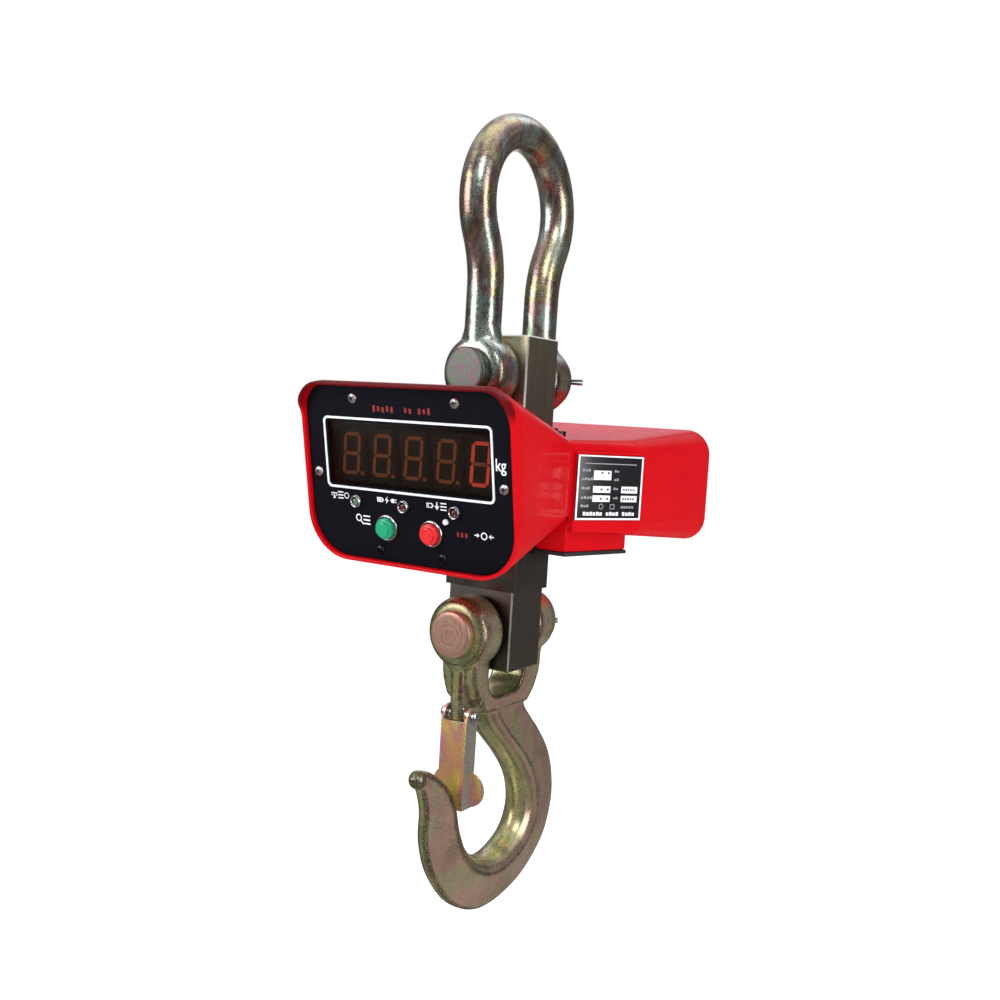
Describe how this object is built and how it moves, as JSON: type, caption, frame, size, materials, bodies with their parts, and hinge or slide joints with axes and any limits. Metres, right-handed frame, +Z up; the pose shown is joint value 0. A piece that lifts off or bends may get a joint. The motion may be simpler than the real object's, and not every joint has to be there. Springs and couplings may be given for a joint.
{
  "type": "crane scale",
  "caption": "Hanging crane scale: bow shackle on top, load-cell bar through a red housing with a tilted digital display, and a swivelling safety hook with a sprung latch.",
  "frame": {"origin": "bearing point under the crown of the suspension shackle, where the crane hook carries the scale", "axes": "+Z up along the load line, -Y out of the display, +X to the display's right as it is read"},
  "size_m": [0.18, 0.3226, 0.612],
  "materials": {
    "forged_zinc": "yellow zinc over forged grain",
    "pin_zinc": "yellow zinc, turned",
    "plain_steel": "satin",
    "cell_steel": "dark nickel, ground",
    "black_rubber": "matte",
    "black_screw": "black oxide",
    "red_paint": "high gloss",
    "black_plastic": "satin",
    "panel_film": "semi gloss",
    "white_line": "gloss",
    "smoked_filter": "tinted, see-through",
    "digit_body": "dull, with orange-red bars",
    "board_green": "solder mask",
    "chrome": "bright",
    "clear_led": "clear lens",
    "red_led": "tinted lens",
    "green_cap": "gloss",
    "red_cap": "gloss",
    "nameplate_film": "gloss print",
    "cable_grey": "satin",
    "cable_red": "satin",
    "battery_case": "satin",
    "brass": "satin"
  },
  "bodies": {
    "shackle_body": {"shackle": "forged_zinc", "shackle_pin": "pin_zinc", "shackle_washer": "pin_zinc", "shackle_cotter": "plain_steel"},
    "scale": {"load_cell": "cell_steel", "gauge_covers": "plain_steel", "top_seal": "black_rubber", "bottom_collar": "cell_steel", "cell_clamps": "plain_steel", "clamp_screws": "black_screw", "front_hood": "red_paint", "rear_housing": "red_paint", "bottom_plate": "black_plastic", "front_panel": "panel_film", "window_frame": "white_line", "display_filter": "smoked_filter", "digit_1": "digit_body", "digit_2": "digit_body", "digit_3": "digit_body", "digit_4": "digit_body", "digit_5": "digit_body", "display_board": "board_green", "main_board": "board_green", "board_parts": "black_plastic", "led_bezels": "chrome", "stable_led": "clear_led", "charge_led": "red_led", "low_battery_led": "red_led", "ir_receiver": "white_line", "button_rings": "chrome", "button_switches": "black_plastic", "panel_screws": "chrome", "nameplate": "nameplate_film", "cell_cable": "black_rubber", "ribbon_cable": "cable_grey", "battery": "battery_case", "battery_terminals": "brass", "battery_tray": "plain_steel", "battery_cable": "cable_red", "rear_plate": "black_plastic", "rear_screws": "chrome", "door_hinge_pin": "plain_steel", "charge_socket": "black_plastic"},
    "view_key": {"view_button": "green_cap"},
    "zero_key": {"zero_button": "red_cap"},
    "door": {"battery_door": "black_plastic", "door_pull": "chrome"},
    "hook_body": {"hook": "forged_zinc", "hook_pin": "pin_zinc", "hook_washer": "pin_zinc", "hook_cotter": "plain_steel", "latch_pin": "chrome", "latch_spring": "chrome"},
    "latch_body": {"latch": "pin_zinc"}
  },
  "joints": [
    {"name": "shackle_swing", "type": "hinge", "parent": "shackle_body", "child": "scale", "pos_m": [0, 0, -0.167], "axis": [0, 1, 0], "range_deg": [-90, 90]},
    {"name": "hook_swing", "type": "hinge", "parent": "scale", "child": "hook_body", "pos_m": [0, 0, -0.359], "axis": [0, 1, 0], "range_deg": [-90, 90]},
    {"name": "latch_open", "type": "hinge", "parent": "hook_body", "child": "latch_body", "pos_m": [0, -0.038, -0.422], "axis": [1, 0, 0], "range_deg": [0, 40], "stiffness_Nm_per_rad": 0.15, "springref_deg": -28.65},
    {"name": "view_press", "type": "slide", "parent": "scale", "child": "view_key", "axis": [0, 0.9836, 0.1805], "range_m": [0, 0.0015], "stiffness_N_per_m": 900, "springref_m": -0.001},
    {"name": "zero_press", "type": "slide", "parent": "scale", "child": "zero_key", "axis": [0, 0.9836, 0.1805], "range_m": [0, 0.0015], "stiffness_N_per_m": 900, "springref_m": -0.001},
    {"name": "battery_door_swing", "type": "hinge", "parent": "scale", "child": "door", "pos_m": [0, 0.1802, -0.283], "axis": [-1, 0, 0], "range_deg": [0, 95]}
  ]
}
